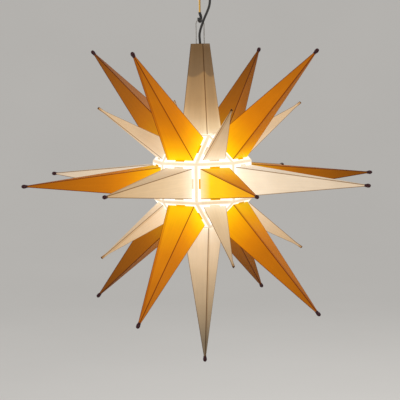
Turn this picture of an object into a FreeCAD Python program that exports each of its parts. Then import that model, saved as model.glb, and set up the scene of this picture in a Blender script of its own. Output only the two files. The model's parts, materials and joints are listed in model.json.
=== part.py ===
import FreeCAD, Part

import math
import os

from FreeCAD import Placement, Rotation, Vector

# A hanging star lamp. Millimetres, +Z up. The origin is the middle of the ceiling bracket's
# upper face, and everything hangs below it.

# Hub of square and triangular frames
hub_edge = 71.3  # every frame has sides of this length
frame_plate = 1.5
flange_depth = 10.0
flange_wall = 1.5
frame_gap = 0.2  # between the flanges of two frames
frame_band = 7.9  # flat band left round the foot of each point

# Points
square_point_length = 254.0
bottom_point_length = 261.0
triangle_point_length = 147.7
point_wall = 1.2
point_hollow_end = 0.5  # half the width of the hollow at its far end
point_ledge = 1.5  # how far a point's foot overlaps its frame
collar_depth = 6.5
collar_clearance = 0.1
barb_length = 12.0
barb_reach = 1.0
barb_height = 2.0
tab_length = 19.0
tab_width = 3.2
tab_height = 1.0
square_tip_taper = 6.0  # the sides would meet this far past the tip
triangle_tip_taper = 5.0

# Tip caps
cap_length = 11.0
cap_wall = 0.9
cap_nose = 2.6
cap_roof = 1.2
cap_clearance = 0.05

# Hanging point
hanging_length = 166.0
hanging_mouth = 26.0  # outer side of its open top
hanging_wall = 1.4

# Clips that pin two flanges together
clip_length = 12.0
clip_wall = 1.0
clip_grip = 4.8
clip_clearance = 0.05

# Hanger plug, stem and cord grip
plug_below_mouth = 47.0
plug_height = 12.0
plug_clearance = 0.1
ear_width = 3.0
ear_depth = 6.0
ear_height = 12.0
stem_radius = 5.0
stem_bore = 3.5
stem_clearance = 0.1
stem_stand = 9.0  # the stem stands this far above the plug
nut_across_flats = 14.0
nut_height = 5.0
grip_wall = 1.7
grip_nose_radius = 3.4
grip_shoulder = 9.0

# Lampholder and bulb
holder_cap_radius = 14.0
holder_cap_height = 18.0
holder_cap_edge = 4.0
holder_skirt_radius = 12.0
holder_skirt_length = 32.0
holder_skirt_edge = 0.8
holder_skirt_flange = 2.0
holder_wall = 1.6
holder_fit = 0.2
thread_shell_wall = 0.8
thread_shell_length = 24.0
contact_height = 2.0
contact_radius = 2.5
contact_floor_lip = 3.0
skirt_rim_height = 4.0
skirt_throat_step = 1.0
bulb_cap_radius = 6.9
bulb_cap_length = 20.0
bulb_cap_wall = 0.5
bulb_thread_clearance = 0.3
bulb_cap_slope = 2.0
bulb_tip_radius = 4.0
bulb_tip_height = 2.0
bulb_tip_seat = 0.5
bulb_tip_nose = 1.6
bulb_tip_step = 0.6
globe_radius = 22.5
globe_shoulder_radius = 15.0
globe_shoulder_length = 10.0
globe_neck_clearance = 0.08
globe_neck_gap = 4.0  # from the neck's end to the bulb's tip
globe_wall = 1.0
bulb_length = 78.0
holder_cap_top = 114.0  # above the middle of the star

# Hook, its sleeve and the bail
rod_radius = 1.7
hook_bend = 4.2
hook_drop = 92.3  # ceiling to the saddle of the hook
bail_height = 66.63  # from its feet to the saddle of the hook
hook_tip_rise = 7.0
shank_bend = 5.0
shank_step = 5.5
sleeve_wall = 0.9
sleeve_clearance = 0.03
sleeve_rise = 17.0
bail_radius = 0.9
bail_half_width = 8.5
bail_clearance = 0.3
foot_clearance = 0.06
foot_overhang = 0.6

# Ceiling fitting
cup_radius = 45.0
cup_depth = 32.0
cup_wall = 1.2
cup_corner = 9.0
cup_ceiling_gap = 0.3
bracket_length = 76.0
bracket_width = 20.0
bracket_sheet = 2.0
bracket_web = 36.0
bracket_depth = 12.0
screw_spacing = 60.0
screw_hole_radius = 2.5
cup_nut_radius = 7.0
cup_nut_height = 6.0
cup_nut_edge = 0.8
lock_nut_across_flats = 8.0
lock_nut_height = 4.0
rod_clearance = 0.1
rod_stand = 2.0  # above the upper lock nut
terminal_length = 20.0
terminal_width = 12.0
terminal_height = 10.0
terminal_screw_radius = 1.9
terminal_screw_height = 1.5
terminal_screw_gap = 10.0
screw_slot_width = 0.6
screw_slot_depth = 0.5

# Cable
cable_radius = 2.2
cable_grip_clearance = 0.1
cable_side = 22.0  # from the hook's rod to the cable, in the ceiling cup
ceiling_grip_radius = 4.4
ceiling_grip_flange = 1.5
ceiling_grip_shoulder = 3.0
ceiling_grip_flange_radius = 6.5
# Each free length starts at its upper end. Heights are above the saddle of the hook.
upper_cable_points = [
    (22.0, 0.0, 44.3),
    (22.0, 0.0, 32.3),
    (18.3, -3.6, 18.3),
    (11.8, -6.0, 4.3),
    (6.7, -6.2, -8.7),
]
lower_cable_points = [
    (6.7, -6.2, -8.7),
    (3.538, -6.324, -16.76),
    (0.9, -4.3, -25.4),
    (0.0, -1.4, -34.1),
    (0.0, 0.0, -43.3),
    (0.0, 0.0, -52.5),
]

# Worked out from the sizes above
half_edge = hub_edge / 2
square_in_radius = half_edge
triangle_in_radius = hub_edge / (2 * math.sqrt(3))
square_face_distance = half_edge * (1 + math.sqrt(2))
triangle_face_distance = hub_edge * (3 + math.sqrt(2)) / (2 * math.sqrt(3))
edge_distance = math.hypot(square_face_distance, half_edge)
flange_scale = 1 - flange_depth / square_face_distance
square_foot = square_in_radius - frame_band
triangle_foot = triangle_in_radius - frame_band
rod_width = rod_radius + sleeve_clearance + sleeve_wall
hook_z = -hook_drop
mouth_height = square_face_distance + hanging_length
plug_floor = mouth_height - plug_below_mouth
plug_roof = plug_floor + plug_height
foot_height = plug_roof + ear_height - ear_depth / 2
star_drop = foot_height + bail_height + hook_drop  # ceiling to the middle of the star
stem_top = plug_roof + stem_stand
stem_foot = holder_cap_top - holder_wall - nut_height
grip_foot = plug_roof + nut_height
cable_floor = lower_cable_points[-1][2] + foot_height + bail_height
cable_roof_z = upper_cable_points[0][2] + hook_z
skirt_roof = holder_cap_top - holder_cap_height
bulb_top = skirt_roof - contact_height - holder_fit
shell_inner_radius = bulb_cap_radius + bulb_thread_clearance
skirt_throat_radius = shell_inner_radius - skirt_throat_step
cup_floor_z = -cup_depth

os.makedirs("parts", exist_ok=True)


def save(name, solids):
    """Writes one node, a solid or a group of separate solids, hung at its height."""
    shape = solids[0] if len(solids) == 1 else Part.makeCompound(solids)
    shape.exportStep("parts/" + name + ".step")


def hung(solid):
    """The solid, moved from the middle of the star down to where the star hangs."""
    return solid.translated(Vector(0, 0, -star_drop))


def polygon(sides, in_radius, flipped=False):
    """Corners of a flat-sided figure about the origin, with one side level."""
    corner_radius = in_radius / math.cos(math.pi / sides)
    start = -math.pi / 2 - math.pi / sides
    if flipped:
        start += math.pi
    turns = [start + 2 * math.pi * k / sides for k in range(sides)]
    return [(corner_radius * math.cos(t), corner_radius * math.sin(t)) for t in turns]


def between(lower, low_z, upper, high_z):
    """A solid with flat faces between two like polygons at two heights."""
    low = [Vector(x, y, low_z) for x, y in lower]
    high = [Vector(x, y, high_z) for x, y in upper]
    faces = [Part.Face(Part.makePolygon(low + low[:1]))]
    faces.append(Part.Face(Part.makePolygon(high + high[:1])))
    for k in range(len(low)):
        n = (k + 1) % len(low)
        side = [low[k], low[n], high[n], high[k], low[k]]
        faces.append(Part.Face(Part.makePolygon(side)))
    solid = Part.Solid(Part.Shell(faces))
    if solid.Volume < 0:
        solid.reverse()
    return solid


def slab(length, width, height, x=0.0, y=0.0, z=0.0):
    """A block centred on x and y, standing on z."""
    return Part.makeBox(length, width, height, Vector(x - length / 2, y - width / 2, z))


def rod(radius, height, z=0.0, x=0.0, y=0.0):
    return Part.makeCylinder(radius, height, Vector(x, y, z))


def tube(outer, inner, height, z=0.0, x=0.0, y=0.0):
    return rod(outer, height, z, x, y).cut(rod(inner, height + 2, z - 1, x, y))


def turned(profile, x=0.0, y=0.0):
    """A solid of revolution about an upright axis from (radius, height) corners."""
    corners = [Vector(r, 0, z) for r, z in profile]
    face = Part.Face(Part.makePolygon(corners + corners[:1]))
    solid = face.revolve(Vector(0, 0, 0), Vector(0, 0, 1), 360)
    return solid.translated(Vector(x, y, 0))


def on_face(solid, azimuth, elevation):
    """Turns a solid made about +Z so that +Z points out through one of the hub's faces."""
    a = math.radians(azimuth)
    e = math.radians(elevation)
    out = Vector(math.cos(e) * math.cos(a), math.cos(e) * math.sin(a), math.sin(e))
    level = Vector(-math.sin(a), math.cos(a), 0)
    up = out.cross(level)
    turn = Rotation(level, up, out, "ZXY")
    placed = solid.copy()
    placed.Placement = Placement(Vector(0, 0, -star_drop), turn).multiply(placed.Placement)
    return placed


# ---- frames of the hub


def frame(sides, in_radius, distance, foot, flipped):
    """One frame: a plate with a window, and a flange turned inwards along each side."""
    lean = math.atan(in_radius / distance)
    gap = frame_gap / 2 / math.cos(lean)
    wall = flange_wall / math.cos(lean)
    inner = distance * flange_scale
    deeper = inner - 2
    plate_under = distance - frame_plate

    def ring(z, inset):
        return polygon(sides, in_radius * z / distance - inset, flipped)

    body = between(ring(inner, gap), inner, ring(distance, gap), distance)
    pocket = between(ring(deeper, gap + wall), deeper, ring(plate_under, gap + wall), plate_under)
    opening = polygon(sides, foot - point_ledge + collar_clearance, flipped)
    window = between(opening, inner, opening, distance + 1)
    return body.cut(pocket).cut(window)


def square_frame():
    return frame(4, square_in_radius, square_face_distance, square_foot, False)


def triangle_frame(flipped):
    return frame(3, triangle_in_radius, triangle_face_distance, triangle_foot, flipped)


def frame_clip():
    """A spring clip over two flanges, made with the hub's middle below and its edge along X."""
    lean = math.atan(half_edge / square_face_distance)
    slot = 2 * flange_wall + frame_gap + 2 * clip_clearance
    rim = edge_distance * flange_scale - flange_wall * math.tan(lean) - clip_clearance
    outside = slab(clip_length, slot + 2 * clip_wall, clip_grip + clip_wall, z=rim - clip_wall)
    return outside.cut(slab(clip_length + 2, slot, clip_grip + 1, z=rim))


def edge_clips():
    """A clip at the middle of every edge between two frames."""
    outward = []
    for azimuth, elevation in belt_faces + upper_squares + lower_squares:
        outward.append((azimuth, elevation))
    outward.append((0, 90))
    outward.append((0, -90))
    places = []
    for azimuth, elevation in outward:
        a = math.radians(azimuth)
        e = math.radians(elevation)
        out = Vector(math.cos(e) * math.cos(a), math.cos(e) * math.sin(a), math.sin(e))
        level = Vector(-math.sin(a), math.cos(a), 0)
        up = out.cross(level)
        for side in (level, up, level.negative(), up.negative()):
            middle = out * square_face_distance + side * half_edge
            if all((middle - other[0]).Length > 1 for other in places):
                places.append((middle, out.cross(side)))
    clip = frame_clip()
    clips = []
    for middle, along in places:
        radial = Vector(middle).normalize()
        turn = Rotation(Vector(along).normalize(), radial.cross(along), radial, "ZXY")
        placed = clip.copy()
        placed.Placement = Placement(Vector(0, 0, -star_drop), turn)
        clips.append(placed)
    return clips


# ---- points


def foot_with_collar(sides, foot, flipped):
    """The collar that goes into the window, its barbs behind the plate and its tabs on it."""
    outer = foot - point_ledge
    low = -collar_depth
    ring = polygon(sides, outer, flipped)
    solid = between(ring, low, ring, point_ledge)
    barb_z = -frame_plate - collar_clearance - barb_height
    for k in range(sides):
        turn = 360.0 / sides * k + (180 if flipped else 0)
        barb = slab(barb_length, barb_reach + 1, barb_height, 0, -outer - barb_reach / 2 + 0.5, barb_z)
        tab_y = -foot - tab_width / 2 + 0.5
        tab = slab(tab_length, tab_width + 1, tab_height, 0, tab_y, 0)
        for piece in (barb, tab):
            piece.rotate(Vector(0, 0, 0), Vector(0, 0, 1), turn)
            solid = solid.fuse(piece)
    return solid


def star_point(sides, foot, length, taper, wall, distance, flipped=False):
    """A hollow point on its frame, open towards the hub, with a solid end."""
    reach = length + taper
    slope = foot / reach
    inset = wall * math.sqrt(1 + slope * slope)
    bare_end = foot * (1 - (length - cap_roof) / reach)
    outside = between(polygon(sides, foot, flipped), 0, polygon(sides, bare_end, flipped), length - cap_roof)
    solid = outside.fuse(foot_with_collar(sides, foot, flipped))
    hollow_foot = foot - slope * point_ledge - inset
    hollow_top = point_ledge + (hollow_foot - point_hollow_end) / slope
    foot_ring = polygon(sides, hollow_foot, flipped)
    end_ring = polygon(sides, point_hollow_end, flipped)
    hollow = between(foot_ring, point_ledge, end_ring, hollow_top)
    throat_ring = polygon(sides, foot - point_ledge - wall, flipped)
    throat = between(throat_ring, -collar_depth - 1, throat_ring, point_ledge)
    solid = solid.cut(hollow).cut(throat)
    return solid.removeSplitter().translated(Vector(0, 0, distance))


def square_point(length):
    return star_point(4, square_foot, length, square_tip_taper, point_wall, square_face_distance)


def triangle_point(flipped):
    foot = triangle_foot
    length = triangle_point_length
    return star_point(3, foot, length, triangle_tip_taper, point_wall, triangle_face_distance, flipped)


def tip_cap(length):
    """A small dark cap pushed over the end of a square point."""
    reach = length + square_tip_taper
    low = length - cap_length
    low_half = square_foot * (1 - low / reach) + cap_clearance
    end_half = square_foot * (1 - (length - cap_roof) / reach) + cap_clearance
    outside = between(polygon(4, low_half + cap_wall), low, polygon(4, cap_nose / 2), length)
    slope = (low_half - end_half) / (length - cap_roof - low)
    bore = between(
        polygon(4, low_half + slope), low - 1, polygon(4, end_half), length - cap_roof + cap_clearance
    )
    return outside.cut(bore).translated(Vector(0, 0, square_face_distance))


def hanging_point():
    """The topmost point: cut off short and open, because the cable and the bail go into it."""
    foot = square_foot
    mouth = hanging_mouth / 2
    slope = (foot - mouth) / hanging_length
    inset = hanging_wall * math.sqrt(1 + slope * slope)
    outside = between(polygon(4, foot), 0, polygon(4, mouth), hanging_length)
    solid = outside.fuse(foot_with_collar(4, foot, False))
    floor_half = foot - slope * point_ledge - inset
    roof_half = mouth - slope - inset
    hollow = between(polygon(4, floor_half), point_ledge, polygon(4, roof_half), hanging_length + 1)
    throat_ring = polygon(4, foot - point_ledge - hanging_wall)
    throat = between(throat_ring, -collar_depth - 1, throat_ring, point_ledge)
    solid = solid.cut(hollow).cut(throat)
    return solid.removeSplitter().translated(Vector(0, 0, square_face_distance))


# ---- inside the hanging point


def hanging_inner_half(height):
    """Half the inner width of the hanging point at a height above the middle of the star."""
    slope = (square_foot - hanging_mouth / 2) / hanging_length
    inset = hanging_wall * math.sqrt(1 + slope * slope)
    return square_foot - slope * (height - square_face_distance) - inset


def hanger_plug():
    """A block wedged in the hanging point, with two ears for the feet of the bail."""
    low = hanging_inner_half(plug_floor) - plug_clearance
    high = hanging_inner_half(plug_roof) - plug_clearance
    solid = between(polygon(4, low), plug_floor, polygon(4, high), plug_roof)
    ear_x = bail_half_width + bail_radius + foot_clearance + ear_width / 2
    for side in (-1, 1):
        ear = slab(ear_width, ear_depth, ear_height + 1, side * ear_x, 0, plug_roof - 1)
        solid = solid.fuse(ear)
    pin_hole = Part.makeCylinder(
        bail_radius + foot_clearance, 4 * ear_x, Vector(-2 * ear_x, 0, foot_height), Vector(1, 0, 0)
    )
    stem_hole = rod(stem_radius + stem_clearance, plug_height + 2, plug_floor - 1)
    return hung(solid.cut(pin_hole).cut(stem_hole))


def stem_tube():
    return hung(tube(stem_radius, stem_bore, stem_top - stem_foot, stem_foot))


def hex_nut(across_flats, height, bore, z):
    ring = polygon(6, across_flats / 2)
    return between(ring, z, ring, z + height).cut(rod(bore, height + 2, z - 1))


def stem_nuts():
    """One nut under the plug, one on top of it and one inside the lampholder's cap."""
    bore = stem_radius + stem_clearance
    feet = (plug_floor - nut_height, plug_roof, stem_foot)
    return [hung(hex_nut(nut_across_flats, nut_height, bore, z)) for z in feet]


def cord_grip(foot, shoulder, length, body_radius, nose_radius):
    """A grip that narrows upwards to the cable, with its foot at the given height."""
    bore = cable_radius + cable_grip_clearance
    profile = [
        (bore, foot),
        (body_radius, foot),
        (body_radius, foot + shoulder),
        (nose_radius, foot + length),
        (bore, foot + length),
    ]
    return turned(profile)


def star_cord_grip():
    """It stands round the top of the stem, and the cable comes out of its nose."""
    length = cable_floor - grip_foot
    solid = cord_grip(grip_foot, grip_shoulder, length, stem_radius + grip_wall, grip_nose_radius)
    socket = rod(stem_radius + stem_clearance, stem_top - grip_foot + stem_clearance, grip_foot)
    return hung(solid.cut(socket))


def lamp_lead():
    """The cable inside the grip and the stem, down to the lampholder."""
    foot = stem_foot
    return hung(rod(cable_radius, cable_floor - foot, foot))


# ---- lampholder and bulb


def lampholder_cap():
    low = skirt_roof
    high = holder_cap_top
    outer = holder_cap_radius
    inner = outer - holder_wall
    hole = stem_radius + stem_clearance
    edge = holder_cap_edge
    profile = [
        (hole, high),
        (outer - edge, high),
        (outer, high - edge),
        (outer, low),
        (inner, low),
        (inner, high - edge - holder_wall / 2),
        (outer - edge - holder_wall / 2, high - holder_wall),
        (hole, high - holder_wall),
    ]
    return hung(turned(profile))


def lampholder_skirt():
    """The lower half of the lampholder, closed at its top by the floor that holds the contact."""
    low = skirt_roof - holder_skirt_length
    outer = holder_skirt_radius
    edge = holder_skirt_edge
    flange = skirt_roof - holder_fit - holder_skirt_flange
    inner = shell_inner_radius + thread_shell_wall + holder_fit
    collar = holder_cap_radius - holder_wall - holder_fit
    profile = [
        (inner, low),
        (outer - edge, low),
        (outer, low + edge),
        (outer, flange - edge),
        (holder_cap_radius, flange),
        (holder_cap_radius, skirt_roof - holder_fit),
        (collar, skirt_roof - holder_fit),
        (collar, skirt_roof + skirt_rim_height),
        (skirt_throat_radius, skirt_roof + skirt_rim_height),
        (skirt_throat_radius, skirt_roof),
        (inner, skirt_roof),
    ]
    return hung(turned(profile))


def lampholder_thread_shell():
    inner = shell_inner_radius
    outer = inner + thread_shell_wall
    return hung(tube(outer, inner, thread_shell_length, skirt_roof - thread_shell_length))


def lampholder_contact():
    """The middle contact under its round insulating floor, which lies on the skirt's rim."""
    floor_z = skirt_roof + skirt_rim_height
    floor = rod(skirt_throat_radius + contact_floor_lip, contact_height, floor_z)
    plug = rod(skirt_throat_radius - holder_fit, skirt_rim_height, skirt_roof)
    return hung(floor.fuse(plug).fuse(rod(contact_radius, contact_height, skirt_roof - contact_height)))


def bulb_cap():
    """The threaded metal cap of the bulb."""
    high = bulb_top - bulb_tip_height
    low = high - bulb_cap_length
    outer = bulb_cap_radius
    inner = outer - bulb_cap_wall
    seat = bulb_tip_seat
    profile = [
        (outer, low),
        (outer, high - bulb_cap_slope),
        (bulb_tip_radius + bulb_cap_wall, high),
        (bulb_tip_radius, high),
        (bulb_tip_radius, high - seat),
        (inner, high - bulb_cap_slope - seat),
        (inner, low),
    ]
    return hung(turned(profile))


def bulb_tip():
    high = bulb_top
    low = bulb_top - bulb_tip_height
    seat = low - bulb_tip_seat
    profile = [
        (0, seat),
        (bulb_tip_radius, seat),
        (bulb_tip_radius, low),
        (bulb_tip_nose + 1, high - bulb_tip_step),
        (bulb_tip_nose, high),
        (0, high),
    ]
    return hung(turned(profile))


def bulb_globe():
    """A round glass bulb, hollow, with a neck that stands in the cap."""
    low = bulb_top - bulb_length
    middle = low + globe_radius
    neck_top = bulb_top - bulb_tip_height - globe_neck_gap
    shoulder = globe_shoulder_radius
    neck = bulb_cap_radius - bulb_cap_wall - globe_neck_clearance

    def skin(ball, throat, top):
        ball_solid = Part.makeSphere(ball, Vector(0, 0, middle))
        shoulder_z = middle + math.sqrt(ball * ball - shoulder * shoulder)
        cone = Part.makeCone(shoulder, throat, globe_shoulder_length, Vector(0, 0, shoulder_z))
        return ball_solid.fuse(cone).fuse(rod(throat, top - middle, middle))

    outside = skin(globe_radius, neck, neck_top)
    inside = skin(globe_radius - globe_wall, neck - globe_wall, neck_top - 2 * globe_wall)
    return hung(outside.cut(inside))


# ---- hook, sleeve and bail


def rounded_wire(points, radii):
    """Straight runs joined by tangent arcs, one radius for each inner point."""
    edges = []
    start = points[0]
    for k in range(1, len(points) - 1):
        before = (points[k - 1] - points[k]).normalize()
        after = (points[k + 1] - points[k]).normalize()
        half_turn = (math.pi - before.getAngle(after)) / 2
        back = radii[k - 1] * math.tan(half_turn)
        into = points[k] + before * back
        out_of = points[k] + after * back
        bisector = (before + after).normalize()
        middle = points[k] + bisector * (radii[k - 1] * (1 / math.cos(half_turn) - 1))
        if (into - start).Length > 1e-6:
            edges.append(Part.LineSegment(start, into).toShape())
        edges.append(Part.Arc(into, middle, out_of).toShape())
        start = out_of
    edges.append(Part.LineSegment(start, points[-1]).toShape())
    return Part.Wire(edges)


def swept(wire, radius, points):
    direction = (points[1] - points[0]).normalize()
    profile = Part.Wire(Part.makeCircle(radius, points[0], direction))
    return wire.makePipeShell([profile], True, True)


def hook_points(top):
    """The way of the hook's wire from a height on its straight rod to its tip, in the Y-Z plane."""
    bend = hook_bend
    step_top = hook_z + bend + shank_bend + shank_step
    return [
        Vector(0, 0, top),
        Vector(0, 0, step_top),
        Vector(0, bend, step_top - shank_step),
        Vector(0, bend, hook_z),
        Vector(0, -bend, hook_z),
        Vector(0, -bend, hook_z + hook_tip_rise),
    ]


def hook_radii():
    corner = hook_bend - 0.01
    return [shank_bend, shank_bend, corner, corner]


def ceiling_hook():
    top = -bracket_depth + bracket_sheet + lock_nut_height + rod_stand
    points = hook_points(top)
    return swept(rounded_wire(points, hook_radii()), rod_radius, points)


def hook_sleeve():
    """A plastic sleeve over the bent end of the hook."""
    points = hook_points(hook_z + sleeve_rise)
    wire = rounded_wire(points, hook_radii())
    return swept(wire, rod_width, points).cut(swept(wire, rod_radius + sleeve_clearance, points))


def wire_bail():
    """A wire loop: round over the hook, down into the hanging point, its feet turned outwards."""
    top = hook_z + rod_width + bail_clearance + bail_radius
    side = bail_half_width
    foot_z = foot_height - star_drop
    foot_x = side + bail_radius + foot_clearance + ear_width + foot_overhang
    points = [
        Vector(-foot_x, 0, foot_z),
        Vector(-side, 0, foot_z),
        Vector(-side, 0, top),
        Vector(side, 0, top),
        Vector(side, 0, foot_z),
        Vector(foot_x, 0, foot_z),
    ]
    bend = side - 0.01
    foot_bend = bail_radius + foot_clearance
    return swept(rounded_wire(points, [foot_bend, bend, bend, foot_bend]), bail_radius, points)


# ---- ceiling fitting


def ceiling_bracket():
    """A strip bent like a hat: its ends lie on the ceiling, its middle carries the hook."""
    half = bracket_length / 2
    web = bracket_web / 2
    sheet = bracket_sheet
    low = -bracket_depth
    outline = [
        (-half, 0),
        (-web, 0),
        (-web, low + sheet),
        (web, low + sheet),
        (web, 0),
        (half, 0),
        (half, -sheet),
        (web + sheet, -sheet),
        (web + sheet, low),
        (-web - sheet, low),
        (-web - sheet, -sheet),
        (-half, -sheet),
    ]
    corners = [Vector(x, -bracket_width / 2, z) for x, z in outline]
    face = Part.Face(Part.makePolygon(corners + corners[:1]))
    solid = face.extrude(Vector(0, bracket_width, 0))
    for side in (-1, 1):
        hole = rod(screw_hole_radius, sheet + 2, -sheet - 1, side * screw_spacing / 2)
        solid = solid.cut(hole)
    return solid.cut(rod(rod_radius + rod_clearance, sheet + 2, low - 1))


def hook_lock_nuts():
    """Two nuts that hold the hook's rod in the bracket, above and below its middle."""
    bore = rod_radius + rod_clearance
    feet = (-bracket_depth + bracket_sheet, -bracket_depth - lock_nut_height)
    return [hex_nut(lock_nut_across_flats, lock_nut_height, bore, z) for z in feet]


def ceiling_cup():
    """A round cup, open towards the ceiling, with holes for the rod and the cord grip."""
    outer = cup_radius
    low = cup_floor_z
    high = -cup_ceiling_gap
    corner = cup_corner
    shell = rod(outer, high - low, low)
    shell = shell.makeFillet(corner, [e for e in shell.Edges if abs(e.BoundBox.ZMax - low) < 0.01])
    inside = rod(outer - cup_wall, high - low, low + cup_wall)
    floor_z = low + cup_wall
    rims = [e for e in inside.Edges if abs(e.BoundBox.ZMax - floor_z) < 0.01]
    inside = inside.makeFillet(corner - cup_wall, rims)
    holes = rod(rod_radius + rod_clearance, cup_wall + 2, low - 1)
    grip_hole = rod(ceiling_grip_radius + rod_clearance, cup_wall + 2, low - 1, cable_side)
    return shell.cut(inside).cut(holes).cut(grip_hole)


def cup_nut():
    """The milled nut that holds the cup up against the ceiling."""
    solid = rod(cup_nut_radius, cup_nut_height, cup_floor_z - cup_nut_height)
    rims = [e for e in solid.Edges if e.Length > 6 * cup_nut_radius]
    solid = solid.makeChamfer(cup_nut_edge, rims)
    return solid.cut(rod(rod_radius + rod_clearance, cup_nut_height + 2, cup_floor_z - cup_nut_height - 1))


def terminal_block():
    high = -bracket_depth
    z = high - terminal_height
    solid = slab(terminal_length, terminal_width, terminal_height, cable_side, 0, z)
    lead_hole = rod(cable_radius + cable_grip_clearance, terminal_height / 2 + 1, z - 1, cable_side)
    return solid.cut(lead_hole)


def terminal_screws():
    """The two screws that hold the wires, on the block's side."""
    y = -terminal_width / 2
    z = -bracket_depth - terminal_height / 2
    screws = []
    for side in (-1, 1):
        x = cable_side + side * terminal_screw_gap / 2
        place = Vector(x, y, z)
        screw = Part.makeCylinder(terminal_screw_radius, terminal_screw_height, place, Vector(0, -1, 0))
        slot_z = z - screw_slot_width / 2
        slot_length = 2 * terminal_screw_radius + 1
        slot = slab(slot_length, 2 * screw_slot_depth, screw_slot_width, x, y - terminal_screw_height, slot_z)
        screws.append(screw.cut(slot))
    return screws


def ceiling_cord_grip():
    """The grip in the floor of the cup: a flange inside, a nose that narrows below."""
    floor_z = cup_floor_z + cup_wall
    nose_z = cable_roof_z
    bore = cable_radius + cable_grip_clearance
    profile = [
        (bore, floor_z + ceiling_grip_flange),
        (ceiling_grip_flange_radius, floor_z + ceiling_grip_flange),
        (ceiling_grip_flange_radius, floor_z),
        (ceiling_grip_radius, floor_z),
        (ceiling_grip_radius, cup_floor_z - ceiling_grip_shoulder),
        (grip_nose_radius, nose_z),
        (bore, nose_z),
    ]
    return turned(profile, cable_side)


def ceiling_lead():
    """The cable from the grip up into the terminal block."""
    high = -bracket_depth - terminal_height / 2
    return rod(cable_radius, high - cable_roof_z, cable_roof_z, cable_side)


# ---- free cable


def cable(points, name):
    """A tube along straight runs and tangent arcs, each arc as large as its two runs allow."""
    route = [Vector(x, y, z + hook_z) for x, y, z in points]
    radii = []
    for k in range(1, len(route) - 1):
        before = route[k - 1] - route[k]
        after = route[k + 1] - route[k]
        half_turn = (math.pi - before.getAngle(after)) / 2
        shorter = min(before.Length, after.Length)
        radii.append(0.45 * shorter / math.tan(half_turn))
    wire = rounded_wire(route, radii)
    solid = swept(wire, cable_radius, route)
    measured = solid.Volume / (math.pi * cable_radius**2 * wire.Length)
    print(name, "bends", [round(r, 1) for r in radii])
    print(name, "length", round(wire.Length, 1), "volume to section times length", round(measured, 4))
    return solid


# ---- places of the faces: azimuth and elevation in degrees

triangle_tilt = math.degrees(math.atan(1 / math.sqrt(2)))
belt_faces = [(45 * k, 0) for k in range(8)]
upper_squares = [(90 * k, 45) for k in range(4)]
lower_squares = [(90 * k, -45) for k in range(4)]
upper_triangles = [(45 + 90 * k, triangle_tilt) for k in range(4)]
lower_triangles = [(45 + 90 * k, -triangle_tilt) for k in range(4)]
face_names = ["right", "back_right", "back", "back_left", "left", "front_left", "front", "front_right"]


def write_frames():
    square = square_frame()
    save("top_frame", [on_face(square, 0, 90)])
    save("bottom_frame", [on_face(square, 0, -90)])
    save("belt_frames", [on_face(square, *face) for face in belt_faces])
    save("upper_square_frames", [on_face(square, *face) for face in upper_squares])
    save("lower_square_frames", [on_face(square, *face) for face in lower_squares])
    save("upper_triangle_frames", [on_face(triangle_frame(False), *face) for face in upper_triangles])
    save("lower_triangle_frames", [on_face(triangle_frame(True), *face) for face in lower_triangles])
    save("frame_clips", edge_clips())


def write_points():
    point = square_point(square_point_length)
    upright = triangle_point(False)
    inverted = triangle_point(True)
    for k, face in enumerate(belt_faces):
        colour = "yellow" if k % 2 else "white"
        save(colour + "_point_" + face_names[k], [on_face(point, *face)])
    for k in range(4):
        side = face_names[2 * k]
        save("yellow_point_upper_" + side, [on_face(point, *upper_squares[k])])
        save("yellow_point_lower_" + side, [on_face(point, *lower_squares[k])])
        corner = face_names[2 * k + 1]
        save("short_point_upper_" + corner, [on_face(upright, *upper_triangles[k])])
        save("short_point_lower_" + corner, [on_face(inverted, *lower_triangles[k])])
    save("white_point_bottom", [on_face(square_point(bottom_point_length), 0, -90)])
    save("hanging_point", [on_face(hanging_point(), 0, 90)])


def write_tip_caps():
    cap = tip_cap(square_point_length)
    caps = [on_face(cap, *face) for face in belt_faces + upper_squares + lower_squares]
    caps.append(on_face(tip_cap(bottom_point_length), 0, -90))
    save("tip_caps", caps)


def write_lamp():
    save("hanger_plug", [hanger_plug()])
    save("stem_tube", [stem_tube()])
    save("stem_nuts", stem_nuts())
    save("star_cord_grip", [star_cord_grip()])
    save("lamp_lead", [lamp_lead()])
    save("lampholder_cap", [lampholder_cap()])
    save("lampholder_skirt", [lampholder_skirt()])
    save("lampholder_thread_shell", [lampholder_thread_shell()])
    save("lampholder_contact", [lampholder_contact()])
    save("bulb_cap", [bulb_cap()])
    save("bulb_tip", [bulb_tip()])
    save("bulb_globe", [bulb_globe()])


def write_hanging():
    save("wire_bail", [wire_bail()])
    save("ceiling_hook", [ceiling_hook()])
    save("hook_sleeve", [hook_sleeve()])
    save("hook_lock_nuts", hook_lock_nuts())
    save("ceiling_bracket", [ceiling_bracket()])
    save("ceiling_cup", [ceiling_cup()])
    save("cup_nut", [cup_nut()])
    save("terminal_block", [terminal_block()])
    save("terminal_screws", terminal_screws())
    save("ceiling_cord_grip", [ceiling_cord_grip()])
    save("ceiling_lead", [ceiling_lead()])
    save("cable_upper", [cable(upper_cable_points, "upper cable")])
    save("cable_lower", [cable(lower_cable_points, "lower cable")])


write_frames()
write_points()
write_tip_caps()
write_lamp()
write_hanging()
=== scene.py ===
import json
import math
import random

import bmesh
import bpy
from mathutils import Matrix, Vector


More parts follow.
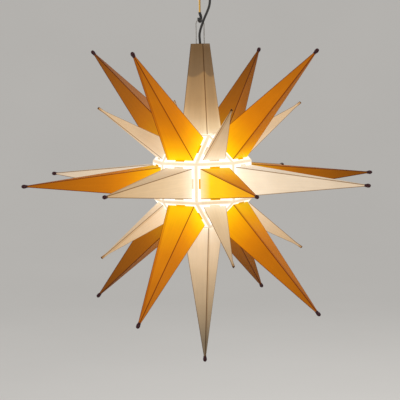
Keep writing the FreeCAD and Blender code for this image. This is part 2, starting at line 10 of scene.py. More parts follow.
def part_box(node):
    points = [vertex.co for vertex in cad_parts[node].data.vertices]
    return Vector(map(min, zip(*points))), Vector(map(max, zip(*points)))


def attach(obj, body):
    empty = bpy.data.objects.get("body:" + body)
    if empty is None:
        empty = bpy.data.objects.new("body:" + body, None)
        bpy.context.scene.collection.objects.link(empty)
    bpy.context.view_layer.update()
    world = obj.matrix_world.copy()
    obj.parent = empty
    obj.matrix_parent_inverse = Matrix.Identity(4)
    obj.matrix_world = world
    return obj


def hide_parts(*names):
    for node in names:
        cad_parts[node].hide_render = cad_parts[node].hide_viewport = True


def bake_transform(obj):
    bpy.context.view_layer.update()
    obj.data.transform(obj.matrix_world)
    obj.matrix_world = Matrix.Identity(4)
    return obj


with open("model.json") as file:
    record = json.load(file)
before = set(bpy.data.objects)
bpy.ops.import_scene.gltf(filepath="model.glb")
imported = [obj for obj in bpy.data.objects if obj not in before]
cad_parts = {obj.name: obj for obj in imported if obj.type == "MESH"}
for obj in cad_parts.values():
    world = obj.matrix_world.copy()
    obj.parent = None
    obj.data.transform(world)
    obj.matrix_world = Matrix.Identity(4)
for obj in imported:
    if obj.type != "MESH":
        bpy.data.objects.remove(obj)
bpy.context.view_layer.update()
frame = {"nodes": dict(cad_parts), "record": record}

mm = 0.001
nodes = frame["nodes"]

# the hub has 18 square and 8 triangular faces with one length of edge, read from its ring of belt frames
beltLow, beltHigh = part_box("belt_frames")
starMiddle = (beltLow + beltHigh) / 2
faceDistance = beltHigh.x / mm  # from the middle to a square face
hubEdge = 2 * faceDistance / (1 + math.sqrt(2))
triangleDistance = hubEdge * (3 + math.sqrt(2)) / (2 * math.sqrt(3))
triangleTilt = math.degrees(math.atan(1 / math.sqrt(2)))
squareTilt = 45
beltTurns = [45 * k for k in range(8)]  # the belt's faces, in degrees round the star
squareTurns = beltTurns[::2]  # the squares above and below the belt
triangleTurns = beltTurns[1::2]
faceDistances = {4: faceDistance, 3: triangleDistance}  # by number of sides
faceRadii = {4: hubEdge / 2, 3: hubEdge / (2 * math.sqrt(3))}  # from a face's middle to its edge
frameBand = 7.9  # from the hub's edge to a point's foot

cameraSettings = {
    "location": (1.40209, -2.49164, -0.10996),
    "azimuth": 29.464,
    "elevation": 6.269,
    "roll": -0.872,
    "lens": 138.37,
    "farClip": 200,
}


def makeCamera(settings):
    data = bpy.data.cameras.new("camera")
    data.lens = settings["lens"]
    data.clip_end = settings["farClip"]
    camera = bpy.data.objects.new("camera", data)
    bpy.context.scene.collection.objects.link(camera)
    azimuth = math.radians(settings["azimuth"])
    elevation = math.radians(settings["elevation"])
    back = Vector((math.sin(azimuth) * math.cos(elevation), -math.cos(azimuth) * math.cos(elevation),
                   math.sin(elevation)))
    turn = (-back).to_track_quat("-Z", "Y").to_matrix().to_4x4()
    roll = Matrix.Rotation(math.radians(settings["roll"]), 4, "Z")
    camera.matrix_world = Matrix.Translation(settings["location"]) @ turn @ roll
    bpy.context.scene.camera = camera


makeCamera(cameraSettings)
print("camera placed")


class Socket:
    # an output socket: sums on it add Math nodes
    def __init__(self, paint, output):
        self.paint = paint
        self.output = output

    def sum(self, operation, *values):
        return self.paint.node("ShaderNodeMath", {"operation": operation}, dict(enumerate(values)))

    def __add__(self, other):
        return self.sum("ADD", self, other)

    def __radd__(self, other):
        return self.sum("ADD", other, self)

    def __sub__(self, other):
        return self.sum("SUBTRACT", self, other)

    def __rsub__(self, other):
        return self.sum("SUBTRACT", other, self)

    def __mul__(self, other):
        return self.sum("MULTIPLY", self, other)

    def __rmul__(self, other):
        return self.sum("MULTIPLY", other, self)

    def __pow__(self, other):
        return self.sum("POWER", self, other)

    def __rpow__(self, other):
        return self.sum("POWER", other, self)

    def rise(self, low, high):
        # 0 below low, 1 above high, smooth between
        settings = {"interpolation_type": "SMOOTHSTEP"}
        return self.paint.node("ShaderNodeMapRange", settings, {0: self, 1: low, 2: high})

    def aboutOne(self, spread):
        # a pattern from 0 to 1, turned into a factor that stays near 1
        return (1 - spread / 2) + spread * self


class Paint:
    # the nodes of one material, or of the world
    def __init__(self, owner):
        owner.use_nodes = True
        self.owner = owner
        self.tree = owner.node_tree
        self.tree.nodes.clear()

    def node(self, kind, settings=None, inputs=None, output=0):
        made = self.tree.nodes.new(kind)
        for key, value in (settings or {}).items():
            if key == "stops":
                self.fillRamp(made.color_ramp, value)
            else:
                setattr(made, key, value)
        for key, value in (inputs or {}).items():
            if isinstance(value, Socket):
                self.tree.links.new(value.output, made.inputs[key])
            else:
                made.inputs[key].default_value = value
        return Socket(self, made.outputs[output])

    def fillRamp(self, ramp, stops):
        while len(ramp.elements) < len(stops):
            ramp.elements.new(0.5)
        for element, (place, colour) in zip(ramp.elements, stops):
            element.position = place
            element.color = (*colour, 1)

    def ramp(self, factor, stops):
        return self.node("ShaderNodeValToRGB", {"stops": stops}, {0: factor})

    def attribute(self, name):
        return self.node("ShaderNodeAttribute", {"attribute_name": name}, output="Fac")

    def place(self):
        return self.node("ShaderNodeTexCoord", output="Object")

    def part(self, vector, k):
        # one number out of a vector
        return self.node("ShaderNodeSeparateXYZ", None, {0: vector}, k)

    def stretched(self, place, scale):
        return self.node("ShaderNodeMapping", None, {"Vector": place, "Scale": scale})

    def noise(self, place, scale, detail):
        return self.node("ShaderNodeTexNoise", None, {"Vector": place, "Scale": scale, "Detail": detail})

    def mix(self, factor, first, second, blend="MIX"):
        settings = {"data_type": "RGBA", "blend_type": blend}
        inputs = {0: factor, 6: colour4(first), 7: colour4(second)}
        return self.node("ShaderNodeMix", settings, inputs, output=2)

    def scaled(self, colour, factor):
        # a colour times a value
        return self.node("ShaderNodeVectorMath", {"operation": "SCALE"}, {0: colour, "Scale": factor})

    def bump(self, height, strength, distance):
        inputs = {"Strength": strength, "Distance": distance, "Height": height}
        return self.node("ShaderNodeBump", None, inputs)

    def surface(self, inputs):
        self.output(self.node("ShaderNodeBsdfPrincipled", None, inputs))
        return self.owner

    def output(self, shader, kind="ShaderNodeOutputMaterial"):
        made = self.tree.nodes.new(kind)
        self.tree.links.new(shader.output, made.inputs["Surface"])


def colour4(value):
    return value if isinstance(value, Socket) else (*value, 1)


# shapes are made of rings, in millimetres, about an axis that points out of the hub

panelStep = 100  # along a sheet, from the middle of one panel to the middle of the next
sideShares = (-1, -0.86, -0.45, 0, 0.45, 0.86, 1)  # where a side has points, from corner to corner
roundestCorner = 0.9  # a ring's corner has at most this share of the ring's width
farFromFold = 9.0  # further than any line along a fold reaches
farFromTip = 99.0
blockEdge = 0.3
sheetReach = 260.0  # the length that a sheet's colours are spread over
sheetFade = {"power": 1.3, "base": 0.42}  # how a sheet's painted glow falls off, and how much its base colour darkens with it as painted shade
evenGlow = {"share": 1.0, "start": (0.0,) * 4, "reach": (1.0,) * 4, "fade": 0.0}  # start and reach by panel


def faceTurn(azimuth, elevation):
    # turns +Z to point out through one of the hub's faces, with +X level
    a = math.radians(azimuth)
    e = math.radians(elevation)
    out = Vector((math.cos(e) * math.cos(a), math.cos(e) * math.sin(a), math.sin(e)))
    level = Vector((-math.sin(a), math.cos(a), 0))
    return Matrix((level, out.cross(level), out)).transposed().to_4x4()


def isFlipped(sides, elevation):
    # the triangles under the belt stand the other way up
    return sides == 3 and elevation < 0


def ringOf(sides, width, height, corner, bead=0.0, bow=None, flipped=False, seam=None):
    # one closed ring of points round a flat-sided figure: place, distance to the fold, u twice, seam
    tangent = math.tan(math.pi / sides)
    half = width * tangent
    corner = min(corner, roundestCorner * width)
    reach = half - corner * tangent
    points = []
    for side in range(sides):
        angle = -math.pi / 2 + 2 * math.pi * side / sides + (math.pi if flipped else 0)
        out = Vector((math.cos(angle), math.sin(angle), 0))
        along = Vector((-math.sin(angle), math.cos(angle), 0))
        up = Vector((0, 0, height))
        u = panelStep * side
        for share in sideShares:
            across = share * reach
            lift = bow(side, share, height) if bow else 0
            place = out * (width + lift) + along * across + up
            seamed = seam is not None and side == seam[0] and share * seam[1] >= 0
            points.append((place, half - abs(across), u + across, u + across, float(seamed)))
        middle = out * (width - corner) + along * reach
        turned = angle + math.pi / sides
        place = middle + Vector((math.cos(turned), math.sin(turned), 0)) * (corner + bead) + up
        points.append((place, 0.0, u + half, u + panelStep - half, 0.0))
    return points


class Shape:
    # collects points, faces and what the materials read
    def __init__(self, glow=evenGlow):
        self.glow = glow
        self.points = []
        self.panels = []
        self.faces = []
        self.uvs = []
        self.marks = {"foldDistance": [], "alongSheet": [], "tipDistance": [], "tabShade": [], "seamSide": []}

    def add(self, place, fold=farFromFold, along=0.0, tip=farFromTip, tab=0.0, seam=0.0, panel=0):
        self.points.append(place)
        self.panels.append(panel)
        for name, value in zip(self.marks, (fold, along, tip, tab, seam)):
            self.marks[name].append(value)

    def rings(self, rings, turn, closed=False, folds=None, tipHeight=None):
        # skins a list of rings, with their ends filled, or closed in a loop
        first = len(self.points)
        count = len(rings[0])
        for k, ring in enumerate(rings):
            for place, fold, uEnd, uStart, seam in ring:
                fold = folds[k] if folds else fold
                along = max(place.z, 0) / sheetReach
                tip = tipHeight - place.z if tipHeight else farFromTip
                self.add(turn @ place, fold, along, tip, seam=seam, panel=round(uEnd / panelStep))
        last = len(rings) if closed else len(rings) - 1
        for k in range(last):
            n = (k + 1) % len(rings)
            for j in range(count):
                i = (j + 1) % count
                self.faces.append([first + k * count + j, first + k * count + i,
                                   first + n * count + i, first + n * count + j])
                low = rings[k][j][0].z
                high = rings[n][j][0].z
                self.uvs += [(rings[k][j][3], low), (rings[k][i][2], low),
                             (rings[n][i][2], high), (rings[n][j][3], high)]
        if not closed:
            for k in (0, len(rings) - 1):
                self.faces.append([first + k * count + j for j in range(count)])
                self.uvs += [(rings[k][j][2], rings[k][j][0].z) for j in range(count)]

    def block(self, size, middle, turn):
        # a block with bevelled edges, in four layers of eight points
        first = len(self.points)
        edge = blockEdge
        x, y, z = (s / 2 for s in size)
        layers = [(-z, -edge), (-z + edge, 0), (z - edge, 0), (z, -edge)]
        for height, inset in layers:
            for cx, cy in ((-1, -1), (1, -1), (1, 1), (-1, 1)):
                for dx, dy in ((edge, 0), (0, edge)) if cx * cy > 0 else ((0, edge), (edge, 0)):
                    px = cx * (x + inset - dx)
                    py = cy * (y + inset - dy)
                    self.add(turn @ (Vector(middle) + Vector((px, py, height))), tab=1.0)
        for k in range(len(layers) - 1):
            low = first + 8 * k
            for j in range(8):
                i = (j + 1) % 8
                self.faces.append([low + j, low + i, low + 8 + i, low + 8 + j])
                self.uvs += [(0, 0)] * 4
        for k in (0, len(layers) - 1):
            self.faces.append([first + 8 * k + j for j in range(8)])
            self.uvs += [(0, 0)] * 8

    def build(self, name, material, body, node):
        mesh = bpy.data.meshes.new(name)
        mesh.from_pydata([p * mm + starMiddle for p in self.points], [], self.faces)
        layer = mesh.uv_layers.new(name="sheet")
        layer.data.foreach_set("uv", [value for uv in self.uvs for value in uv])
        alongs = self.marks["alongSheet"]
        fades = [min(self.glow["fade"] * along ** sheetFade["power"], 1) for along in alongs]
        starts = self.glow["start"]
        reaches = self.glow["reach"]
        self.marks["glowShare"] = [self.glow["share"] * (1 - fade) for fade in fades]
        # the share of base colour left under the painted shade of the fall-off
        self.marks["baseShare"] = [1 - sheetFade["base"] * fade for fade in fades]
        self.marks["glowAlong"] = [starts[panel] + along / reaches[panel]
                                   for along, panel in zip(alongs, self.panels)]
        for mark, values in self.marks.items():
            mesh.attributes.new(mark, "FLOAT", "POINT").data.foreach_set("value", values)
        return finishMesh(mesh, name, material, node, body)


def finishMesh(mesh, name, material, node, body=None):
    work = bmesh.new()
    work.from_mesh(mesh)
    bmesh.ops.recalc_face_normals(work, faces=work.faces)
    work.to_mesh(mesh)
    work.free()
    mesh.polygons.foreach_set("use_smooth", [True] * len(mesh.polygons))
    mesh.materials.append(material)
    mesh.update()
    piece = bpy.data.objects.new(name, mesh)
    bpy.context.scene.collection.objects.link(piece)
    if body:
        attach(piece, body)
    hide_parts(node)
    return piece


# translucent sheet, its inner light painted in: base colours darken from the hub to the tip as painted shade,
# the glow is the painted light of the lamp inside, and tints paint shade on parts of it

whiteSheet = {
    "base": [(0.0, (0.60, 0.57, 0.50)), (0.3, (0.52, 0.445, 0.35)), (1.0, (0.43, 0.345, 0.25))],
    "glow": [(0.0, (0.52, 0.49, 0.44)), (0.05, (0.44, 0.41, 0.35)), (0.15, (0.38, 0.33, 0.265)),
             (0.35, (0.32, 0.26, 0.19)), (0.7, (0.28, 0.215, 0.15)), (1.0, (0.26, 0.195, 0.13))],
    # tints of painted shade: lines along the folds, the seam's doubled flap, the tabs, the short points' tips
    # and their very end
    "foldShadeTint": (0.36, 0.26, 0.18),
    "flapShadeTint": (0.90, 0.85, 0.78),
    "tabShadeTint": (0.92, 0.86, 0.74),
    "tipShadeTint": (0.80, 0.66, 0.50),
    "endShadeTint": (0.25, 0.18, 0.12),
    "roughness": 0.55,
}
# a shaded copy of the white sheet: base colour and glow painted darker and warmer toward the tip
shadedWhiteSheet = {
    **whiteSheet,
    "base": [(0.0, (0.60, 0.55, 0.46)), (0.12, (0.54, 0.46, 0.35)), (0.3, (0.51, 0.42, 0.30)),
             (0.6, (0.46, 0.36, 0.24)), (1.0, (0.40, 0.30, 0.19))],
    "glow": [(0.0, (0.53, 0.48, 0.40)), (0.05, (0.46, 0.39, 0.30)), (0.15, (0.40, 0.30, 0.19)),
             (0.35, (0.345, 0.225, 0.115)), (0.7, (0.28, 0.165, 0.07)), (1.0, (0.22, 0.12, 0.04))],
}
# the yellow sheet's base colour also darkens toward the tip as painted shade, under its painted glow
yellowSheet = {
    "base": [(0.0, (0.42, 0.17, 0.002)), (0.3, (0.36, 0.112, 0.002)), (1.0, (0.28, 0.079, 0.002))],
    "glow": [(0.0, (0.90, 0.72, 0.45)), (0.03, (0.88, 0.62, 0.0)), (0.07, (0.84, 0.52, 0.0)),
             (0.15, (0.72, 0.32, 0.0)), (0.28, (0.51, 0.168, 0.0)), (0.43, (0.34, 0.100, 0.0)),
             (0.63, (0.28, 0.082, 0.0)), (1.0, (0.195, 0.055, 0.0))],
    # tints of painted shade, as on the white sheet
    "foldShadeTint": (0.34, 0.20, 0.2),
    "flapShadeTint": (0.84, 0.76, 0.7),
    "tabShadeTint": (0.82, 0.62, 0.5),
    "tipShadeTint": (0.7, 0.6, 0.5),
    "endShadeTint": (0.3, 0.2, 0.2),
    "roughness": 0.5,
}
sheetGrain = {
    "streak": (0.36, 0.012, 1.0),  # across the sheet and along it
    "mottle": 55.0,
    "cloud": 13.0,
    "streakSpread": 0.18,
    "mottleSpread": 0.1,
    "cloudSpread": 0.32,
    "roughSpread": 0.14,
    "streakHeight": 0.4,
    "mottleHeight": 0.3,
    "bump": 0.1,
    "bumpDistance": 0.0003,
}
sheetLines = {  # where each line of painted shade starts and ends, in millimetres from a fold or a tip; the flap also raises a bump
    "fold": (0.45, 1.9),
    "flap": (4.6, 5.0),
    "flapEdgeIn": (3.8, 4.6),
    "flapEdgeOut": (5.0, 5.8),
    "tip": (3.0, 10.0),
    "end": (0.3, 1.6),
}
seamStep = (0.3, 0.7)  # the seam's mark, 1 on its half of a panel, is cut off between these
upwardLook = {"range": (0.1, 0.95), "shade": 0.08, "light": 0.24}  # painted shade: faces that look up are a little darker, and their glow dimmer still


def sheetPaint(name, look, shadow=None):
    paint = Paint(bpy.data.materials.new(name))
    fold = paint.attribute("foldDistance")
    tip = paint.attribute("tipDistance")
    # painted shade lines along the folds, over the seam's flap and along its edge
    foldShadeLine = 1 - fold.rise(*sheetLines["fold"])
    seam = paint.attribute("seamSide").rise(*seamStep)
    flap = seam * (1 - fold.rise(*sheetLines["flap"]))
    flapEdge = seam * fold.rise(*sheetLines["flapEdgeIn"]) * (1 - fold.rise(*sheetLines["flapEdgeOut"]))
    place = paint.place()
    sheetPlace = paint.node("ShaderNodeTexCoord", output="UV")
    streak = paint.noise(paint.stretched(sheetPlace, sheetGrain["streak"]), 1.0, 2.0)
    mottle = paint.noise(place, sheetGrain["mottle"], 3.0)
    cloud = paint.noise(place, sheetGrain["cloud"], 1.0)
    upward = paint.part(paint.node("ShaderNodeTexCoord", output="Normal"), 2).rise(*upwardLook["range"])
    grain = streak.aboutOne(sheetGrain["streakSpread"]) + mottle.aboutOne(sheetGrain["mottleSpread"]) - 1
    # from here on grain also carries the painted shade of faces that look up
    grain = grain * (1 - upwardLook["shade"] * upward)
    shade = grain * paint.attribute("baseShare")
    light = grain * paint.attribute("glowShare") * (1 - upwardLook["light"] * upward)
    light = light * cloud.aboutOne(sheetGrain["cloudSpread"])
    if shadow:
        middle = shadow["middle"] * fold.rise(*shadow["middleFrom"])
        light = light * holderShadow(paint, place, shadow) * (1 - middle)

    def tinted(colour):
        # each tint darkens base and glow as painted shade; the end tint makes a dark dot at a short point's
        # very end
        tints = ((foldShadeLine, "foldShadeTint"), (flap, "flapShadeTint"), (flapEdge, "flapShadeTint"),
                 (paint.attribute("tabShade"), "tabShadeTint"), (1 - tip.rise(*sheetLines["tip"]), "tipShadeTint"),
                 (1 - tip.rise(*sheetLines["end"]), "endShadeTint"))
        for share, tint in tints:
            colour = paint.mix(share, colour, look[tint], "MULTIPLY")
        return colour

    height = streak * sheetGrain["streakHeight"] + mottle * sheetGrain["mottleHeight"] + flap
    return paint.surface({
        "Base Color": paint.scaled(tinted(paint.ramp(paint.attribute("alongSheet"), look["base"])), shade),
        "Roughness": look["roughness"] + sheetGrain["roughSpread"] * mottle,
        "Emission Color": paint.scaled(tinted(paint.ramp(paint.attribute("glowAlong"), look["glow"])), light),
        "Emission Strength": 1.0,
        "Normal": paint.bump(height, sheetGrain["bump"], sheetGrain["bumpDistance"]),
        "IOR": 1.25,
        "Specular IOR Level": 0.3,
    })


def holderShadow(paint, place, shadow):
    # above a cone round the lampholder the wall gets little light
    x, y, z = (paint.part(place, k) for k in range(3))
    x = x + shadow["off"]
    y = y - shadow["off"]
    radius = (x * x + y * y) ** 0.5
    margin = shadow["foot"] + shadow["slope"] * radius - (z - starMiddle.z)
    return shadow["dark"] + (1 - shadow["dark"]) * margin.rise(-shadow["soft"], shadow["soft"])


whitePaint = sheetPaint("white sheet", whiteSheet)
shadedWhitePaint = sheetPaint("shaded white sheet", shadedWhiteSheet)
yellowPaint = sheetPaint("yellow sheet", yellowSheet)

# the points: hollow sheets, each with a ledge, a collar inside its frame, and a tab on each side

pointShape = {
    "ledge": 1.5,
    "wall": 1.2,
    "collarDepth": 6.5,
    "collarCorner": 0.5,
    "rimInset": 0.25,
    "rimHeight": 0.35,
    "taper": {4: 7.2, 3: 6.2},  # how far past its end a point's sides would meet, by number of sides
    "corner": 0.9,
    "cornerShare": 0.5,  # of a ring's width, where that is less
    "bead": 0.22,
    "beadWidth": 4.0,  # below this width the bead gets smaller
    "blunt": {4: 1.2, 3: 1.75},  # a point's half width at its end
    "bluntEnd": [(0.5, 0.86), (0.9, 0.6), (1.1, 0.2)],  # height over the end, and share of its width
    "tab": (19.0, 3.6, 1.0),  # length, width and height
    "tabOverlap": 0.4,
    "stations": 26,
    "stationSpread": 1.25,  # above 1, rings stand closer together near the foot
}
pointInside = {"gap": 0.3, "end": 0.5, "corner": 0.4, "stations": (0.97, 0.6, 0.3, 0.0)}
panelSwell = {
    "size": 0.55,
    "least": -1.0,
    "most": 0.6,
    "rise": 0.8,
    "wave": 0.12,
    "waveStep": 17.0,
    "calm": 0.8,  # how much of it is gone at the tip
}


def footOf(sides):
    return faceRadii[sides] - frameBand


def collarRings(sides, wall, flipped=False):
    # from the throat inside, round the collar's lower end, and out to the point's rim
    shape = pointShape
    foot = footOf(sides)
    outer = foot - shape["ledge"]
    throat = outer - wall
    depth = -shape["collarDepth"]
    corner = shape["collarCorner"]
    rings = [ringOf(sides, width, height, corner, flipped=flipped)
             for width, height in ((throat, shape["ledge"]), (throat, depth), (outer, depth), (outer, 0))]
    rings.append(ringOf(sides, foot - shape["rimInset"], 0.0, shape["corner"], flipped=flipped))
    return rings


def pointRings(sides, length, bow, flipped, seam):
    shape = pointShape
    foot = footOf(sides)
    reach = length + shape["taper"][sides]
    slope = foot / reach
    inner = foot - shape["wall"] - pointInside["gap"]
    blunt = shape["blunt"][sides]
    rings = []
    for share in pointInside["stations"]:
        height = shape["ledge"] + share * (inner - pointInside["end"]) / slope
        width = inner - slope * (height - shape["ledge"])
        rings.append(ringOf(sides, width, height, pointInside["corner"], flipped=flipped))
    rings += collarRings(sides, shape["wall"], flipped)
    for k in range(shape["stations"]):
        share = (k / (shape["stations"] - 1)) ** shape["stationSpread"]
        height = shape["rimHeight"] + share * (length - shape["rimHeight"])
        width = max(foot * (1 - height / reach), blunt)
        corner = min(shape["corner"], shape["cornerShare"] * width)
        bead = shape["bead"] * min(1, width / shape["beadWidth"])
        rings.append(ringOf(sides, width, height, corner, bead, bow, flipped, seam))
    for over, share in shape["bluntEnd"]:
        width = share * blunt
        rings.append(ringOf(sides, width, length + over, shape["cornerShare"] * width, flipped=flipped))
    return rings


def panelBow(seed, length):
    # each panel of the sheet stands a little proud or hollow along its length
    swell = panelSwell
    chance = random.Random(seed)
    amounts = [chance.uniform(swell["least"], swell["most"]) * swell["size"] for _ in range(4)]
    phases = [chance.uniform(0, 6) for _ in range(4)]

    def bow(side, share, height):
        t = min(max(height / length, 0), 1)
        arch = 1 - share * share  # full in the panel's middle, none at its folds
        lift = math.sin(math.pi * t ** swell["rise"]) * arch
        wave = swell["wave"] * math.sin(height / swell["waveStep"] + phases[side]) * arch * (1 - t)
        return (amounts[side] * lift + wave) * (1 - swell["calm"] * t)

    return bow


def addTabs(shape, sides, turn, flipped=False):
    length, width, height = pointShape["tab"]
    middle = (0, -footOf(sides) - width / 2 + pointShape["tabOverlap"], height / 2)
    for side in range(sides):
        spin = Matrix.Rotation(2 * math.pi * side / sides + (math.pi if flipped else 0), 4, "Z")
        shape.block(pointShape["tab"], middle, turn @ spin)


# how much painted lamp light each point gets

yellowLight = {
    # the way from the star to the camera: points that look this way get the most painted glow
    "cameraSide": Vector((0.49, -0.867, 0.096)),
    "farSide": -0.35,  # a point that looks this much toward the camera's side gets the least painted glow
    "nearSide": 0.5,
    "least": 0.32,
    "farFade": 0.85,
    "nearFade": 0.10,
}
whiteLights = {  # how much white points glow against the usual, and how fast that fades
    "white_point_right": (1.25, 0.0),
    "white_point_left": (1.1, 0.0),
    "white_point_bottom": (1.25, 1.25),
    "short_point_lower_front_right": (1.4, 1.2),
    "short_point_lower_front_left": (1.15, 0.4),
    "short_point_lower_back_right": (1.2, 0.6),
    "short_point_upper_front_right": (1.1, 1.0),
}
yellowStart = (0.03, 0.03, 0.03, 0.03)  # past the pale foot of the yellow sheet's glow
paleStarts = {"yellow_point_front_right": (0.03, 0.03, 0.03, 0.0)}  # one panel shows the lamp's pale glare
panelReaches = {  # how far up each panel the light carries, where a point's panels differ
    "yellow_point_front_right": (4.6, 4.6, 2.4, 5.9),
    "yellow_point_lower_front": (1.0, 1.0, 1.6, 1.0),
    "yellow_point_upper_right": (0.6, 1.0, 1.0, 1.0),
}


def glowOf(node, colour, out):
    # painted glow: yellow points that look toward the camera glow more, and the nearest one over most of its
    # length
    if colour == "white":
        share, fade = whiteLights.get(node, (1.0, 0.0))
        return {**evenGlow, "share": share, "fade": fade}
    light = yellowLight
    side = (out.dot(light["cameraSide"]) - light["farSide"]) / (light["nearSide"] - light["farSide"])
    side = min(max(side, 0), 1)
    return {
        "share": light["least"] + (1 - light["least"]) * side,
        "start": paleStarts.get(node, yellowStart),
        "reach": panelReaches.get(node, evenGlow["reach"]),
        "fade": light["farFade"] + (light["nearFade"] - light["farFade"]) * side,
    }


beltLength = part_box("white_point_right")[1].x / mm - faceDistance
bottomLength = (starMiddle.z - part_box("white_point_bottom")[0].z) / mm - faceDistance
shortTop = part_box("short_point_upper_back_right")[1]
shortLength = (shortTop.z - starMiddle.z) / mm / math.sin(math.radians(triangleTilt)) - triangleDistance


def makePoint(node, azimuth, elevation, colour, paint, length=beltLength, sides=4):
    turn = faceTurn(azimuth, elevation)
    place = turn @ Matrix.Translation((0, 0, faceDistances[sides]))
    flipped = isFlipped(sides, elevation)
    seam = (2, 1) if elevation <= 0 else (0, -1)  # which panel has it, and on which half
    shape = Shape(glowOf(node, colour, turn @ Vector((0, 0, 1))))
    rings = pointRings(sides, length, panelBow(node, length), flipped, seam)
    shape.rings(rings, place, tipHeight=length if sides == 3 else None)  # caps hide the ends of long points
    addTabs(shape, sides, place, flipped)
    shape.build("sheet_" + node, paint, "star_shell", node)


faceNames = ["right", "back_right", "back", "back_left", "left", "front_left", "front", "front_right"]
for azimuth, side in zip(beltTurns, faceNames):
    if azimuth in triangleTurns:
        makePoint("yellow_point_" + side, azimuth, 0, "yellow", yellowPaint)
        makePoint("short_point_upper_" + side, azimuth, triangleTilt, "white", shadedWhitePaint, shortLength, 3)
        makePoint("short_point_lower_" + side, azimuth, -triangleTilt, "white", shadedWhitePaint, shortLength, 3)
    else:
        makePoint("white_point_" + side, azimuth, 0, "white", shadedWhitePaint if side == "front" else whitePaint)
        makePoint("yellow_point_upper_" + side, azimuth, squareTilt, "yellow", yellowPaint)
        makePoint("yellow_point_lower_" + side, azimuth, -squareTilt, "yellow", yellowPaint)
makePoint("white_point_bottom", 0, -90, "white", shadedWhitePaint, bottomLength)
print("points made, long", round(beltLength, 1), "short", round(shortLength, 1))

# the cut-off point at the top

hangingShape = {
    "mouth": 13.0,
    "wall": 1.4,
    "corner": 0.4,
    "inside": (1, 0.98, 0.75, 0.5, 0.25, 0),
    "rimInset": 0.3,
}
hangingShadow = {
    "foot": 0.159,  # the cone's lowest point, in metres above the star's middle
    "slope": 1.26,
    "dark": 0.22,
    "off": 0.007,  # the cone's axis lies this far to the left and to the back, in metres
    "soft": 0.003,
    "middle": 0.22,  # how much darker a panel's middle is than its folds
    "middleFrom": (1.5, 12.0),  # in millimetres from a fold
}
# a shaded copy of the white sheet for the cut-off point: base colour and glow painted darker fast toward its
# top
hangingSheet = {
    **whiteSheet,
    "base": [(0.0, (0.46, 0.39, 0.29)), (0.2, (0.29, 0.20, 0.115)), (0.6, (0.15, 0.09, 0.042))],
    "glow": [(0.0, (0.66, 0.56, 0.40)), (0.04, (0.56, 0.43, 0.25)), (0.12, (0.38, 0.245, 0.11)),
             (0.25, (0.23, 0.13, 0.045)), (0.45, (0.17, 0.085, 0.022)), (1.0, (0.14, 0.06, 0.012))],
}


def makeHangingPoint():
    shape = pointShape
    foot = footOf(4)
    wall = hangingShape["wall"]
    length = (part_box("hanging_point")[1].z - starMiddle.z) / mm - faceDistance
    slope = (foot - hangingShape["mouth"]) / length
    bow = panelBow("hanging", length)
    rings = []
    for share in hangingShape["inside"]:
        height = shape["ledge"] + share * (length - shape["ledge"])
        rings.append(ringOf(4, foot - slope * height - wall, height, hangingShape["corner"]))
    rings += collarRings(4, wall)
    for k in range(shape["stations"]):
        share = (k / (shape["stations"] - 1)) ** shape["stationSpread"]
        height = shape["rimHeight"] + share * (length - 2 * shape["rimHeight"])
        rings.append(ringOf(4, foot - slope * height, height, shape["corner"], shape["bead"], bow))
    rings.append(ringOf(4, hangingShape["mouth"] - hangingShape["rimInset"], length, shape["corner"]))
    made = Shape()
    place = faceTurn(0, 90) @ Matrix.Translation((0, 0, faceDistance))
    made.rings(rings, place, closed=True)
    addTabs(made, 4, place)
    paint = sheetPaint("hanging sheet", hangingSheet, hangingShadow)
    made.build("sheet_hanging_point", paint, "lamp_hanger", "hanging_point")


makeHangingPoint()
print("hanging point made")

# dark caps on the long points

capShape = {
    "half": 3.6,
    "rings": [  # height from the tip, share of the half width, softness of the corners
        (-11, 0.5, 0.3), (-11, 0.66, 0.4), (-10.7, 0.7, 0.5), (-9.2, 0.72, 0.6), (-8.4, 0.78, 0.7),
        (-7.2, 0.92, 0.8), (-5.6, 1.0, 0.9), (-4.0, 1.0, 0.9), (-2.4, 0.9, 0.9), (-1.2, 0.7, 0.9),
        (-0.4, 0.45, 0.9), (0, 0.1, 0.9),
    ],
}
capLook = {
    "first": (0.020, 0.002, 0.004),
    "second": (0.042, 0.004, 0.008),
    "mottle": 400.0,
    "roughness": 0.42,
    "spread": 0.12,
    "shine": 0.25,
    "bump": 0.1,
    "bumpDistance": 0.0002,
}


def capPaint():
    look = capLook
    paint = Paint(bpy.data.materials.new("cap maroon"))
    mottle = paint.noise(paint.place(), look["mottle"], 2.0)
    return paint.surface({
        "Base Color": paint.mix(mottle, look["first"], look["second"]),
        "Roughness": look["roughness"] + look["spread"] * mottle,
        "Specular IOR Level": look["shine"],
        "Normal": paint.bump(mottle, look["bump"], look["bumpDistance"]),
    })


def makeCaps():
    shape = Shape()
    low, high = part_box("tip_caps")
    longReach = high.x / mm
    bottomReach = (starMiddle.z - low.z) / mm
    half = capShape["half"]
    rings = [ringOf(4, half * share, height, half * share * softness)
             for height, share, softness in capShape["rings"]]
    tips = [(azimuth, 0, longReach) for azimuth in beltTurns]
    tips += [(azimuth, tilt, longReach) for azimuth in squareTurns for tilt in (squareTilt, -squareTilt)]
    tips.append((0, -90, bottomReach))
    for azimuth, elevation, reach in tips:
        shape.rings(rings, faceTurn(azimuth, elevation) @ Matrix.Translation((0, 0, reach)))
    shape.build("capsMaroon", capPaint(), "star_shell", "tip_caps")


makeCaps()
print("caps made")

# the hub's frames, with a painted white-hot glow, and their folded flanges

